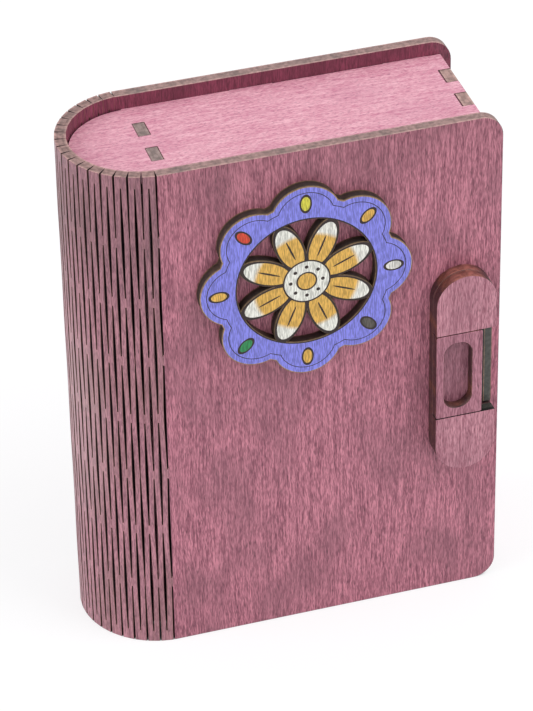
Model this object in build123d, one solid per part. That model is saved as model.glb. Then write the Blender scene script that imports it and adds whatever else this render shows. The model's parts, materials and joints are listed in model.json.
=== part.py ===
from build123d import *
from math import cos, radians, sin, tan
import os

os.makedirs("parts", exist_ok=True)

# Keepsake box in the shape of a closed book, laser-cut from one thickness of birch plywood.
# It stands on its lower edge: +Z up, spine at -X, fore edge at +X, front cover facing -Y.
# The origin is the centre of the footprint. Sizes are in millimetres, angles in degrees.

# Driving dimensions of the book
SHEET = 3.0             # thickness of the plywood
HEIGHT = 148.0          # covers and spine, along Z
DEPTH = 43.0            # over both covers
COVER_REACH = 90.0      # from the axis of the rounded spine to the fore edge
CORNER_R = 6.0          # covers' corners at the fore edge
KERF_FIT = 0.1          # play round each tab

# Lattice hinge: open rows of cuts, with a closed row of slits in the middle of each strip between them
CUT_ROWS = 19
ROW_CUT = 0.45          # width of an open cut when the hinge lies flat
SLIT_CUT = 0.38         # width of a closed slit
BRIDGE = 3.4            # length of the wood between two cuts, and beyond the first and last slit
SPANS = 4               # slits in a row, and bridges across an open row
LINE_GAP = 0.025        # each half of a bridge stops this short of the line it bends on

# Inner frame
PLATE_INSET = 4.0       # top and bottom plates, below the covers' edges
FRAME_GAP = 0.3         # frame to front cover, and plates to rounded spine
WALL_INSET = 3.0        # fore-edge wall, from the fore edge
SPINE_WALL_X = 1.0      # spine wall, past the axis of the rounded spine
TAB = 6.3               # wall tabs that show in the plates
TAB_GAP = 6.1
TABS_FROM_FRONT = 22.75     # middle of a pair of tabs, from the front cover's face
NOTCH_PLAY = 0.35       # inner side of the notches at the plates' ends
BACK_TAB = 12.0         # tabs that hold the frame in the back cover
WALL_BACK_TABS = (44.0, 104.0)      # heights on the walls
PLATE_BACK_TABS = (52.0, 10.0)      # distances from the fore-edge wall's outer face, on the plates

# Latch
LATCH_W = 16.5
LATCH_H = 61.4          # over both round ends
GRIP_H = 26.0
CAP_GAP = 0.3           # grip to each cap
GRIP_TO_LUG = 0.8
SLIDER_PLAY = 0.05      # slider's layers to the faces they slide on
RECESS_W = 7.6          # finger recess through the grip
RECESS_H = 20.6
RECESS_FROM_LEFT = 2.2
TRAVEL = 3.0            # slider, towards the fore edge
LUG_H = 25.4
LUG_SINK = 0.3          # lug's end, below the latch base's outer face
LUG_PLAY = 0.6          # lug to the ends of its slot
LUG_SWING = 1.4         # room beyond the lug at the cover's inner face, because the cover shifts as it opens
LUG_SWING_OUTER = 0.8   # and at its outer face
OPENING_H = 35.4        # opening in the cover, behind the latch
BOLT_H = 13.4
BOLT_PLAY = 0.8         # bolt to the ends of the lug's window
BOLT_TO_LUG = 0.3       # bolt's end to the lug when the latch is open
WINDOW_CLEAR = 0.15     # bolt to the lug's head
WINDOW_SINK = 2.6       # window, past the wall's front edge
FLANGE_H = 39.0
FLANGE_LAP = 0.25       # flange beyond the finger recess
EAR_H = 6.7             # flange's thinned ends, under the caps
SLIDE_PLAY = 0.3        # flange to the ends of its pocket

# Emblem, a pierced rosette glued to the front cover
EMBLEM_R = 28.5         # over the lobes
EMBLEM_FROM_FORE = 53.8
EMBLEM_Z = 110.5
LOBES = 8
LOBE_R = 9.5
RING_R = 24.5
PIERCED_R = 18.6
PETAL_LENGTH = 15.6
PETAL_W = 7.4
HEART_R = 6.2

# Places that follow from the driving dimensions
TURN = 180.0 / CUT_ROWS                 # what one row bends by
HALF_TURN = radians(TURN / 2)
NEUTRAL_R = (DEPTH - SHEET) / 2         # middle of the sheet at the middle of a strip
PITCH = 2 * NEUTRAL_R * tan(HALF_TURN)  # from one bending line to the next
STRIPS = CUT_ROWS - 1
SPAN = (HEIGHT - BRIDGE) / SPANS        # from one bridge of a row to the next
SPINE_REACH = (NEUTRAL_R + SHEET / 2) * cos(HALF_TURN) + (PITCH / 2 - LINE_GAP) * sin(HALF_TURN)
FORE_X = (COVER_REACH + SPINE_REACH) / 2
SPINE_X = FORE_X - COVER_REACH          # axis of the rounded spine
BACK_Y = (DEPTH + 2 * SHEET + SLIDER_PLAY) / 2      # the slider stands proudest, on two more sheets
FRONT_Y = BACK_Y - DEPTH
SPINE_Y = (FRONT_Y + BACK_Y) / 2
FRAME_FRONT_Y = FRONT_Y + SHEET + FRAME_GAP
FRAME_BACK_Y = BACK_Y - SHEET
PLATE_TOP_Z = HEIGHT - PLATE_INSET
WALL_LOW_Z = PLATE_INSET + SHEET
WALL_HIGH_Z = PLATE_TOP_Z - SHEET
LUG_RIGHT_X = FORE_X - WALL_INSET
LUG_LEFT_X = LUG_RIGHT_X - SHEET
SPINE_WALL_LEFT_X = SPINE_X + SPINE_WALL_X
LATCH_Z = HEIGHT / 2
LATCH_LEFT_X = LUG_RIGHT_X - LATCH_W
BASE_FACE_Y = FRONT_Y - SHEET           # outer face of the latch base
RECESS_LEFT_X = LATCH_LEFT_X + RECESS_FROM_LEFT
FLANGE_LEFT_X = RECESS_LEFT_X - FLANGE_LAP
FLANGE_RIGHT_X = LUG_LEFT_X - TRAVEL - SLIDE_PLAY
FLANGE_INNER_Y = FRONT_Y - SLIDER_PLAY
GRIP_INNER_Y = FLANGE_INNER_Y - SHEET
WINDOW_FRONT_Y = FLANGE_INNER_Y - WINDOW_CLEAR


def rect(x0: float, x1: float, y0: float, y1: float) -> Sketch:
    """Rectangle between two corners."""
    return Pos((x0 + x1) / 2, (y0 + y1) / 2) * Rectangle(x1 - x0, y1 - y0)


def band(half: float) -> tuple:
    """Lowest and highest Z of something centred on the latch."""
    return LATCH_Z - half, LATCH_Z + half


def cover_sheet(outline: Sketch, outer_y: float, thickness: float = SHEET) -> Part:
    """Sheet parallel to the covers, drawn in X and Z, from its outer face inwards."""
    return extrude(Plane.XZ.offset(-outer_y) * outline, amount=-thickness)


def wall_sheet(outline: Sketch, left_x: float) -> Part:
    """Sheet parallel to the fore edge, drawn in Y and Z."""
    return extrude(Plane.YZ.offset(left_x) * outline, amount=SHEET)


def save(node: str, solid: Part) -> None:
    """Writes one sub-part."""
    export_step(solid, f"parts/{node}.step")


# Lattice hinge. A strip is drawn flat: X along the bend, Y outwards from the middle of the sheet.
def bridge_halves(side: int) -> Part:
    """Halves of the bridges that reach one bending line; two that meet on it part as the line bends."""
    root = PITCH / 2 - ROW_CUT
    tip = PITCH / 2 - LINE_GAP
    inner_tip = tip - SHEET / 2 * tan(HALF_TURN)
    corners = [(root, -SHEET / 2), (inner_tip, -SHEET / 2), (tip, 0), (tip, SHEET / 2), (root, SHEET / 2)]
    section = make_face(Polyline([(side * x, y) for x, y in corners], close=True))
    return Part() + [Pos(0, 0, SPAN * (i + 0.5)) * extrude(section, amount=BRIDGE) for i in range(SPANS)]


def slits() -> Part:
    """Closed slits in the middle of a strip."""
    cut = Box(SLIT_CUT, 2 * SHEET, SPAN - BRIDGE)
    return Part() + [Pos(0, 0, SPAN * (i + 0.5) + BRIDGE / 2) * cut for i in range(SPANS)]


def flat_strip() -> Part:
    """One strip of the lattice, lying flat."""
    plank = extrude(Rectangle(PITCH - ROW_CUT, SHEET), amount=HEIGHT)
    return plank + bridge_halves(-1) + bridge_halves(1) - slits()


def round_the_spine(strip: Part, number: int) -> Part:
    """Puts a flat strip in its place on the spine; strip 1 is next to the back cover."""
    return Pos(SPINE_X, SPINE_Y) * Rot(0, 0, TURN * number) * Pos(0, NEUTRAL_R) * strip


def plain_cover() -> Part:
    """Back cover without its slots, with the middle of the sheet at Y 0."""
    spine_edge = SPINE_X - PITCH / 2 + ROW_CUT / 2
    board = rect(spine_edge, FORE_X, 0, HEIGHT)
    fore_corners = board.vertices().group_by(Axis.X)[-1]
    cover = cover_sheet(fillet(fore_corners, CORNER_R), -SHEET / 2)
    return cover + Pos(SPINE_X) * bridge_halves(-1)


# Inner frame
def tab_pair() -> list:
    """Y ranges of the two tabs at each end of a wall."""
    middle = FRONT_Y + TABS_FROM_FRONT
    near, far = TAB_GAP / 2, TAB_GAP / 2 + TAB
    return [(middle - far, middle - near), (middle + near, middle + far)]


def wall_outline() -> Sketch:
    """Wall with tabs into both plates and the back cover, drawn in Y and Z."""
    outline = rect(FRAME_FRONT_Y, FRAME_BACK_Y, WALL_LOW_Z, WALL_HIGH_Z)
    for y0, y1 in tab_pair():
        outline += rect(y0, y1, PLATE_INSET, PLATE_TOP_Z)
    for z in WALL_BACK_TABS:
        outline += rect(FRAME_BACK_Y - SHEET, BACK_Y, z - BACK_TAB / 2, z + BACK_TAB / 2)
    return outline


def plate_tab_ranges() -> list:
    """X ranges of a plate's tabs into the back cover."""
    return [(LUG_RIGHT_X - d - BACK_TAB / 2, LUG_RIGHT_X - d + BACK_TAB / 2) for d in PLATE_BACK_TABS]


def plate() -> Part:
    """D-shaped end plate with slots for the spine wall and notches for the fore-edge wall."""
    round_r = NEUTRAL_R - SHEET / 2 - FRAME_GAP
    outline = rect(SPINE_X, LUG_RIGHT_X, FRAME_FRONT_Y, FRAME_BACK_Y)
    outline += Pos(SPINE_X, SPINE_Y) * Circle(round_r)
    for x0, x1 in plate_tab_ranges():
        outline += rect(x0, x1, FRAME_BACK_Y - SHEET, BACK_Y)
    for y0, y1 in tab_pair():
        low, high = y0 - KERF_FIT, y1 + KERF_FIT
        outline -= rect(SPINE_WALL_LEFT_X - KERF_FIT, SPINE_WALL_LEFT_X + SHEET + KERF_FIT, low, high)
        outline -= rect(LUG_LEFT_X - NOTCH_PLAY, LUG_RIGHT_X + SHEET, low, high)
    return extrude(outline, amount=SHEET)


def frame_slots() -> Part:
    """Slots in the back cover for the frame's tabs."""
    grown = BACK_TAB / 2 + KERF_FIT
    thick = SHEET + 2 * KERF_FIT
    slots = []
    for left in (SPINE_WALL_LEFT_X, LUG_LEFT_X):
        for z in WALL_BACK_TABS:
            slots.append(rect(left - KERF_FIT, left - KERF_FIT + thick, z - grown, z + grown))
    for low in (PLATE_INSET, WALL_HIGH_Z):
        for x0, x1 in plate_tab_ranges():
            slots.append(rect(x0 - KERF_FIT, x1 + KERF_FIT, low - KERF_FIT, low - KERF_FIT + thick))
    outline = Sketch() + slots
    return extrude(Plane.XZ.offset(-BACK_Y) * outline, amount=SHEET, both=True)


def fore_edge_wall() -> Part:
    """Fore-edge wall, whose lug comes out through the cover and holds a window for the bolt."""
    outline = wall_outline()
    lug_end_y = BASE_FACE_Y + LUG_SINK
    outline += rect(lug_end_y, FRAME_FRONT_Y, *band(LUG_H / 2))
    outline -= rect(WINDOW_FRONT_Y, FRAME_FRONT_Y + WINDOW_SINK, *band(BOLT_H / 2 + BOLT_PLAY))
    return wall_sheet(outline, LUG_LEFT_X)


# Latch
def latch_outline() -> Sketch:
    """Outline of the latch with its two round ends, drawn in X and Z."""
    middle_x = LATCH_LEFT_X + LATCH_W / 2
    return Pos(middle_x, LATCH_Z) * Rot(0, 0, 90) * SlotOverall(LATCH_H, LATCH_W)


def cover_opening() -> Part:
    """Opening behind the latch for the lug and the bolt, with its edge beyond the lug eased inwards."""
    left = FLANGE_LEFT_X - SLIDE_PLAY
    inner_y = FRONT_Y + SHEET
    corners = [(left, FRONT_Y), (LUG_RIGHT_X + LUG_SWING_OUTER, FRONT_Y),
               (LUG_RIGHT_X + LUG_SWING, inner_y), (left, inner_y)]
    section = make_face(Polyline(corners, close=True))
    return Pos(0, 0, LATCH_Z - OPENING_H / 2) * extrude(section, amount=OPENING_H)


def latch_base() -> Part:
    """Lower layer of the latch, with the flange's pocket, open at the lug's side."""
    pocket = rect(FLANGE_LEFT_X - SLIDE_PLAY, FLANGE_RIGHT_X + TRAVEL + SLIDE_PLAY,
                  *band(FLANGE_H / 2 + SLIDE_PLAY))
    lug_way = rect(FLANGE_RIGHT_X, LUG_RIGHT_X + SHEET, *band(LUG_H / 2 + LUG_PLAY))
    return cover_sheet(latch_outline() - pocket - lug_way, BASE_FACE_Y)


def latch_cap(side: int) -> Part:
    """Round end of the latch's top layer: side 1 is the upper one, -1 the lower."""
    near = LATCH_Z + side * (GRIP_H / 2 + CAP_GAP)
    far = LATCH_Z + side * LATCH_H
    keep = rect(LATCH_LEFT_X, LUG_RIGHT_X, min(near, far), max(near, far))
    return cover_sheet(latch_outline() & keep, BASE_FACE_Y - SHEET)


def slider_grip() -> Part:
    """Outer layer of the slider, with the finger recess cut through it."""
    block = rect(LATCH_LEFT_X, LUG_LEFT_X - GRIP_TO_LUG, *band(GRIP_H / 2))
    recess = Pos(RECESS_LEFT_X + RECESS_W / 2, LATCH_Z) * Rot(0, 0, 90) * SlotOverall(RECESS_H, RECESS_W)
    return cover_sheet(block - recess, GRIP_INNER_Y - SHEET)


def slider_flange() -> Part:
    """Middle layer of the slider, whose thinned ends are held under both caps."""
    middle = rect(FLANGE_LEFT_X, FLANGE_RIGHT_X, *band(FLANGE_H / 2 - EAR_H))
    full = rect(FLANGE_LEFT_X, FLANGE_RIGHT_X, *band(FLANGE_H / 2))
    thinned = SHEET - 2 * SLIDER_PLAY
    return cover_sheet(middle, GRIP_INNER_Y) + cover_sheet(full, FLANGE_INNER_Y - thinned, thinned)


def slider_bolt() -> Part:
    """Inner layer of the slider, which enters the lug's window."""
    outline = rect(FLANGE_LEFT_X, LUG_LEFT_X - BOLT_TO_LUG, *band(BOLT_H / 2))
    return cover_sheet(outline, FLANGE_INNER_Y)


# Emblem
def emblem() -> Part:
    """Scalloped ring round a flower, with the ground between its petals cut away."""
    lobes = [Rot(0, 0, 360 / LOBES * i) * Pos(EMBLEM_R - LOBE_R, 0) * Circle(LOBE_R) for i in range(LOBES)]
    petal_middle = PIERCED_R + 0.6 - PETAL_LENGTH / 2
    petals = [Rot(0, 0, 360 / LOBES * (i + 0.5)) * Pos(petal_middle, 0) * Ellipse(PETAL_LENGTH / 2, PETAL_W / 2)
              for i in range(LOBES)]
    ring = Circle(RING_R) + lobes - Circle(PIERCED_R)
    outline = ring + petals + Circle(HEART_R)
    return cover_sheet(Pos(FORE_X - EMBLEM_FROM_FORE, EMBLEM_Z) * outline, FRONT_Y - SHEET)


def main() -> None:
    """Builds and writes every sub-part."""
    cover = plain_cover()
    save("back_cover", Pos(0, BACK_Y - SHEET / 2) * cover - frame_slots())
    front = Pos(0, FRONT_Y + SHEET / 2) * mirror(cover, about=Plane.XZ)
    save("front_cover", front - cover_opening())

    strip = flat_strip()
    for number in range(1, STRIPS + 1):
        save(f"spine_strip_{number:02d}", round_the_spine(strip, number))

    save("top_plate", Pos(0, 0, WALL_HIGH_Z) * plate())
    save("bottom_plate", Pos(0, 0, PLATE_INSET) * plate())
    save("spine_wall", wall_sheet(wall_outline(), SPINE_WALL_LEFT_X))
    save("fore_edge_wall", fore_edge_wall())

    save("latch_base", latch_base())
    save("latch_cap_upper", latch_cap(1))
    save("latch_cap_lower", latch_cap(-1))
    save("slider_grip", slider_grip())
    save("slider_flange", slider_flange())
    save("slider_bolt", slider_bolt())
    save("emblem", emblem())

    print(f"spine axis at X {SPINE_X:.3f}, Y {SPINE_Y:.3f}; fore edge at X {FORE_X:.3f}")
    print(f"pitch {PITCH:.4f}, bending lines at radius {NEUTRAL_R / cos(HALF_TURN):.4f}, turn {TURN:.4f}")


if __name__ == "__main__":
    main()
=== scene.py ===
import json
import logging
import math
from dataclasses import dataclass, field
from enum import Enum

import bpy
from bpy.types import ID, Material, Node, NodeSocket, NodeTree, Object
from mathutils import Matrix, Vector

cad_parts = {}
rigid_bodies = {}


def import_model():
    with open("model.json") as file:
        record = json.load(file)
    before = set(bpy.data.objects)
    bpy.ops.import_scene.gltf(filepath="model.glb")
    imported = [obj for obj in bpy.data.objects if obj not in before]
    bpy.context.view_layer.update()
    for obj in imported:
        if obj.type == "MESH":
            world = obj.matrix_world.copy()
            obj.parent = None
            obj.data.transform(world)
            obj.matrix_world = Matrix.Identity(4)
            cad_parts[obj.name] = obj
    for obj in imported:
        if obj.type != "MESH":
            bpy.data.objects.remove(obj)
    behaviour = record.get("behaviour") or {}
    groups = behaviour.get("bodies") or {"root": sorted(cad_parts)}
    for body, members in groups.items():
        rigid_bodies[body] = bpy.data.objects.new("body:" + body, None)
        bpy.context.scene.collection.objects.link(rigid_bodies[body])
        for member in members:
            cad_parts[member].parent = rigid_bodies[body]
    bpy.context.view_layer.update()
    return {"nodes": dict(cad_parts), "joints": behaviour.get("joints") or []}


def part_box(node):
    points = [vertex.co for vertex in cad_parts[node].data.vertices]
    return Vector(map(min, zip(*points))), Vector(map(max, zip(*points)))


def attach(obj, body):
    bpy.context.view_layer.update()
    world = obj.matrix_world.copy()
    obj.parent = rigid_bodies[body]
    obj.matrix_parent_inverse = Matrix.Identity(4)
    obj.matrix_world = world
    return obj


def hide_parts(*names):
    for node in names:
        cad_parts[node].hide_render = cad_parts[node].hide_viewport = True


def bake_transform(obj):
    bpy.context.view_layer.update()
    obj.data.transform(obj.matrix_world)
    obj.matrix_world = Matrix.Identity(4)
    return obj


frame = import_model()

# Keepsake box in the shape of a closed book, laser-cut from 3 mm birch plywood and stained rose.
# +Z is up, the spine is at -X and the front cover faces -Y. Places are in metres, patterns in millimetres.

MM = 0.001
log = logging.getLogger("book_box")

Pair = tuple[float, float]
Triple = tuple[float, float, float]
# Column of a lattice row: distance from its bending line, side of it, and place across its beam from -1 to 1
Column = tuple[float, int, float]


def linear(hex_colour: str) -> tuple[float, float, float, float]:
    """Turns an sRGB colour into a linear one.

    Args:
        hex_colour: Colour such as "#A8607A".

    Returns:
        Linear red, green, blue and an alpha of 1.
    """
    channels = [int(hex_colour[i:i + 2], 16) / 255 for i in (1, 3, 5)]
    return (*(c / 12.92 if c <= 0.04045 else ((c + 0.055) / 1.055) ** 2.4 for c in channels), 1.0)


def add_node(tree: NodeTree, kind: str, inputs: dict | None = None, **settings) -> Node:
    """Adds one node with its settings and its links.

    Args:
        tree: Node tree that the node goes into.
        kind: Type of the node, without its "ShaderNode".
        inputs: Values, hex colours, sockets or nodes to link from, by the input's name or number. A node
            gives its first output that is in use.
        **settings: Properties of the node.

    Returns:
        The new node.
    """
    node = tree.nodes.new("ShaderNode" + kind)
    for name, value in settings.items():
        setattr(node, name, value)
    for key, value in (inputs or {}).items():
        used = [socket for socket in node.inputs if socket.enabled]
        socket = node.inputs[key] if isinstance(key, int) else next(s for s in used if s.name == key)
        if isinstance(value, Node):
            value = next(s for s in value.outputs if s.enabled)
        if isinstance(value, NodeSocket):
            tree.links.new(value, socket)
        else:
            socket.default_value = linear(value) if isinstance(value, str) else value
    return node


def paint_over(tree: NodeTree, base: object, *layers: tuple[object, object]) -> Node:
    """Lays colours over a base, one above another.

    Args:
        tree: Node tree that the nodes go into.
        base: Colour of the base, as a hex value or a node.
        *layers: How much each layer covers and its colour, from the bottom up.

    Returns:
        Node with the colour that shows.
    """
    for amount, colour in layers:
        base = add_node(tree, "Mix", {"Factor": amount, "A": base, "B": colour}, data_type="RGBA")
    return base


def new_material(name: str) -> Material:
    """Makes a material with an empty node tree.

    Args:
        name: Name of the material.

    Returns:
        The material.
    """
    material = bpy.data.materials.new(name)
    material.use_nodes = True
    material.node_tree.nodes.clear()
    return material


def add_object(name: str, data: ID) -> Object:
    """Makes an object and puts it in the scene.

    Args:
        name: Name of the object.
        data: Its mesh, light or camera.

    Returns:
        The object.
    """
    thing = bpy.data.objects.new(name, data)
    bpy.context.scene.collection.objects.link(thing)
    return thing


class Axis(Enum):
    """Axis of the box."""

    X = 0
    Y = 1
    Z = 2


# A surface is a sheet's face where its normal has at least this share along the sheet's thickness
SQUARE_ON = 0.9


@dataclass(frozen=True)
class Lay:
    """How a flat sheet lies in the box.

    Attributes:
        across: Axis across the grain, in the sheet's face.
        along: Axis of the grain.
        depth: Axis through the sheet.
        middle: Middle of the sheet's thickness along that axis, in millimetres.
    """

    across: Axis
    along: Axis
    depth: Axis
    middle: float

    @classmethod
    def of_node(cls, node: str, along: Axis) -> "Lay":
        """Reads how a node lies from its box.

        Args:
            node: Name of a flat node, whose shortest side is the sheet's thickness.
            along: Axis of the grain.

        Returns:
            The lay of its sheet.
        """
        low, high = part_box(node)
        size = high - low
        depth = min(Axis, key=lambda axis: size[axis.value])
        across = next(axis for axis in Axis if axis not in (along, depth))
        return cls(across, along, depth, (low[depth.value] + high[depth.value]) / 2 / MM)

    def place(self, tree: NodeTree) -> Node:
        """Adds the place on the sheet, in millimetres.

        Args:
            tree: Node tree of the material.

        Returns:
            Node whose vector is the place across the grain, along it and off the sheet's middle.
        """
        point = add_node(tree, "TexCoord").outputs["Object"]
        scaled = add_node(tree, "VectorMath", {0: point, 1: (1 / MM,) * 3}, operation="MULTIPLY")
        parts = add_node(tree, "SeparateXYZ", {0: scaled}).outputs
        across, along, depth = (parts[axis.value] for axis in (self.across, self.along, self.depth))
        off_middle = add_node(tree, "Math", {0: depth, 1: self.middle}, operation="SUBTRACT")
        return add_node(tree, "CombineXYZ", {0: across, 1: along, 2: off_middle})

    def is_face(self, tree: NodeTree, side: int = 0) -> Node:
        """Adds a mask that is 1 on the sheet's faces.

        Args:
            tree: Node tree of the material.
            side: Side along the sheet's thickness, -1 or 1, where only the face on that side counts.

        Returns:
            Node with the mask.
        """
        normal = add_node(tree, "SeparateXYZ", {0: add_node(tree, "TexCoord").outputs["Normal"]})
        facing = add_node(tree, "Math", {0: normal.outputs[self.depth.value], 1: float(side)},
                          operation="MULTIPLY" if side else "ABSOLUTE")
        return add_node(tree, "Math", {0: facing, 1: SQUARE_ON}, operation="GREATER_THAN")


# Values of the noise between which each pattern of the grain rises from none to full
FIBRE_RISE, STREAK_RISE, PORE_RISE, CLOUD_RISE = (0.38, 0.62), (0.30, 0.72), (0.56, 0.74), (0.42, 0.72)


@dataclass(frozen=True)
class Grain:
    """Grain of rotary-cut birch, with its sizes across and along the fibres in millimetres.

    Birch veneer shows short pale fibres, longer soft streaks and small dark pores. Stain soaks in unevenly,
    which gives it cloudy darker patches. The finest fibres are drawn as wide as one pixel of the render.
    """

    fibre: Pair = (0.18, 2.0)
    streak: Pair = (0.55, 12.0)
    pore: Pair = (0.24, 2.0)
    cloud: Pair = (13.0, 22.0)
    waver: Pair = (20.0, 60.0)
    waver_reach: float = 2.6
    layer: float = 1.1

    def noise(self, tree: NodeTree, place: Node, size: Pair, rise: Pair, detail: float = 1.0) -> Node:
        """Adds stretched noise, spread out to the whole range from 0 to 1.

        Args:
            tree: Node tree of the material.
            place: Place on the sheet in millimetres.
            size: Size of the pattern across and along the grain.
            rise: Noise values that become 0 and 1.
            detail: Number of finer layers of noise.

        Returns:
            Node with the value.
        """
        scale = (1 / size[0], 1 / size[1], 1 / self.layer)
        scaled = add_node(tree, "VectorMath", {0: place, 1: scale}, operation="MULTIPLY")
        noise = add_node(tree, "TexNoise", {"Vector": scaled, "Scale": 1.0, "Detail": detail})
        limits = {"Value": noise.outputs[0], "From Min": rise[0], "From Max": rise[1]}
        return add_node(tree, "MapRange", limits, interpolation_type="SMOOTHSTEP")

    def waved(self, tree: NodeTree, place: Node) -> Node:
        """Adds the slow sideways waver of the grain.

        Args:
            tree: Node tree of the material.
            place: Place on the sheet in millimetres.

        Returns:
            Node with the wavering place.
        """
        scale = (1 / self.waver[0], 1 / self.waver[1], 0.0)
        slow = add_node(tree, "VectorMath", {0: place, 1: scale}, operation="MULTIPLY")
        noise = add_node(tree, "TexNoise", {"Vector": slow, "Scale": 1.0, "Detail": 1.0})
        shift = {0: noise.outputs[1], 1: (self.waver_reach, 0.0, 0.0), 2: place}
        return add_node(tree, "VectorMath", shift, operation="MULTIPLY_ADD")


@dataclass(frozen=True)
class Stain:
    """Colours of a stained face.

    Attributes:
        light: Pale fibres.
        dark: Wood between them.
        pore: Pores and deep streaks.
        cloud: Patches where the stain sits greyer.
        cloudiness: Share of the cloud colour in the middle of a patch.
        pore_depth: Share of the pore colour in a pore.
        fine_share: Share of the tone that the fibres give; the streaks give the rest.
    """

    light: str
    dark: str
    pore: str
    cloud: str
    cloudiness: float = 0.55
    pore_depth: float = 0.6
    fine_share: float = 0.58

    def colour(self, tree: NodeTree, place: Node, grain: Grain) -> tuple:
        """Adds the colour of the stained face.

        Args:
            tree: Node tree of the material.
            place: Place on the sheet in millimetres.
            grain: Grain of its veneer.

        Returns:
            Node with the colour and node with the fibres, from 0 to 1.
        """
        waved = grain.waved(tree, place)
        fibres = grain.noise(tree, waved, grain.fibre, FIBRE_RISE)
        streaks = grain.noise(tree, waved, grain.streak, STREAK_RISE)
        pores = grain.noise(tree, waved, grain.pore, PORE_RISE)
        clouds = grain.noise(tree, place, grain.cloud, CLOUD_RISE, detail=3.0)
        broad = add_node(tree, "Math", {0: streaks, 1: 1.0 - self.fine_share}, operation="MULTIPLY")
        tone = add_node(tree, "Math", {0: fibres, 1: self.fine_share, 2: broad}, operation="MULTIPLY_ADD")
        greyed = add_node(tree, "Math", {0: clouds, 1: self.cloudiness}, operation="MULTIPLY")
        depth = add_node(tree, "Math", {0: pores, 1: self.pore_depth}, operation="MULTIPLY")
        layers = (tone, self.light), (greyed, self.cloud), (depth, self.pore)
        return paint_over(tree, self.dark, *layers), fibres


# On a cut edge, in millimetres: width of the change to the outer ply, a glue line's distance from the sheet's
# middle, half its width, and half the width of the line beside a gap's painted shade
RIM_RISE, GLUE_AT, GLUE_HALF, LINE_HALF = 0.5, 0.62, 0.1, 0.12


@dataclass(frozen=True)
class Cut:
    """Colours of an edge that a laser has cut, where the beam has charred the wood.

    Attributes:
        core: Wood in the middle of the edge.
        rim: Outer plies, beside the two faces.
        glue: Glue lines between the plies.
        scorch: Blotches where the stain or the char differs.
        rim_from: Where the outer plies begin, in millimetres from the middle of the sheet.
        gap: How far from the middle, on the lower side of the axis, painted shade of a gap falls on the edge.
            A
        thin line of the outer ply's colour runs beside it.
    """

    core: str
    rim: str
    glue: str
    scorch: str
    rim_from: float = 0.9
    gap: float | None = None

    def colour(self, tree: NodeTree, place: Node) -> Node:
        """Adds the colour of the cut edge.

        Args:
            tree: Node tree of the material.
            place: Place on the sheet in millimetres.

        Returns:
            Node with the colour.
        """
        depth = add_node(tree, "SeparateXYZ", {0: place}).outputs[2]
        off = add_node(tree, "Math", {0: depth}, operation="ABSOLUTE")
        rim = add_node(tree, "MapRange", {"Value": off, "From Min": self.rim_from,
                                          "From Max": self.rim_from + RIM_RISE})
        if self.gap:
            beside = {0: depth, 1: LINE_HALF - self.gap, 2: LINE_HALF}
            line = add_node(tree, "Math", beside, operation="COMPARE")
            rim = add_node(tree, "Math", {0: rim, 1: line}, operation="MAXIMUM")
        glue = add_node(tree, "Math", {0: off, 1: GLUE_AT, 2: GLUE_HALF}, operation="COMPARE")
        faint = add_node(tree, "Math", {0: glue, 1: 0.5}, operation="MULTIPLY")
        noise = add_node(tree, "TexNoise", {"Vector": place, "Scale": 0.14, "Detail": 4.0, "Roughness": 0.6})
        blotch = add_node(tree, "MapRange", {"Value": noise.outputs[0], "From Min": 0.52, "From Max": 0.68,
                                             "To Max": 0.75})
        scorched = paint_over(tree, self.core, (rim, self.rim), (faint, self.glue), (blotch, self.scorch))
        fine = add_node(tree, "TexNoise", {"Vector": place, "Scale": 0.9, "Detail": 3.0})
        shade = add_node(tree, "MapRange", {"Value": fine.outputs[0], "From Min": 0.36, "From Max": 0.64,
                                            "To Min": 0.72, "To Max": 1.28})
        shaded = add_node(tree, "VectorMath", {0: scorched, 1: shade}, operation="MULTIPLY")
        if self.gap is None:
            return shaded
        # painted shade of a gap: beyond that depth the edge is darkened to a few per cent
        lit = add_node(tree, "MapRange", {"Value": depth, "From Min": -self.gap - 0.05,
                                          "From Max": -self.gap + 0.05, "To Min": 0.06})
        return add_node(tree, "VectorMath", {0: shaded, 1: lit}, operation="MULTIPLY")


def finish_wood(material: Material, colour: Node, height: Node, roughness: float, relief: float,
                sheen: float = 0.0) -> None:
    """Gives a material its shader.

    Birch with stain rubbed in keeps the IOR of wood fibre, about 1.5, and a satin surface.

    Args:
        material: Material whose tree holds the nodes.
        colour: Node with the colour.
        height: Node with the height of the surface, from 0 to 1.
        roughness: Roughness of the surface.
        relief: Depth of the relief in millimetres.
        sheen: How much raised fibres whiten the surface where it is seen along its face.
    """
    tree = material.node_tree
    bump = add_node(tree, "Bump", {"Height": height, "Strength": 0.6, "Distance": relief * MM})
    shader = add_node(tree, "BsdfPrincipled", {"Base Color": colour, "Normal": bump, "Roughness": roughness,
                                               "IOR": 1.5, "Sheen Weight": sheen})
    add_node(tree, "OutputMaterial", {"Surface": shader})


# Palettes, as sRGB hex values, tuned until the render's regions came near the photograph's
COVER_STAIN = Stain(light="#E393A6", dark="#824358", pore="#4E2A36", cloud="#835260", cloudiness=0.42)
# darker copy of the rose stain for the inner faces of the covers and the spine: painted shade
INNER_STAIN_PAINTED_SHADE = Stain(light="#A04C67", dark="#6C2D43", pore="#431927", cloud="#5E283A")
SPINE_STAIN = Stain(light="#D694A3", dark="#885263", pore="#52323E", cloud="#85605F", cloudiness=0.4)
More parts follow.
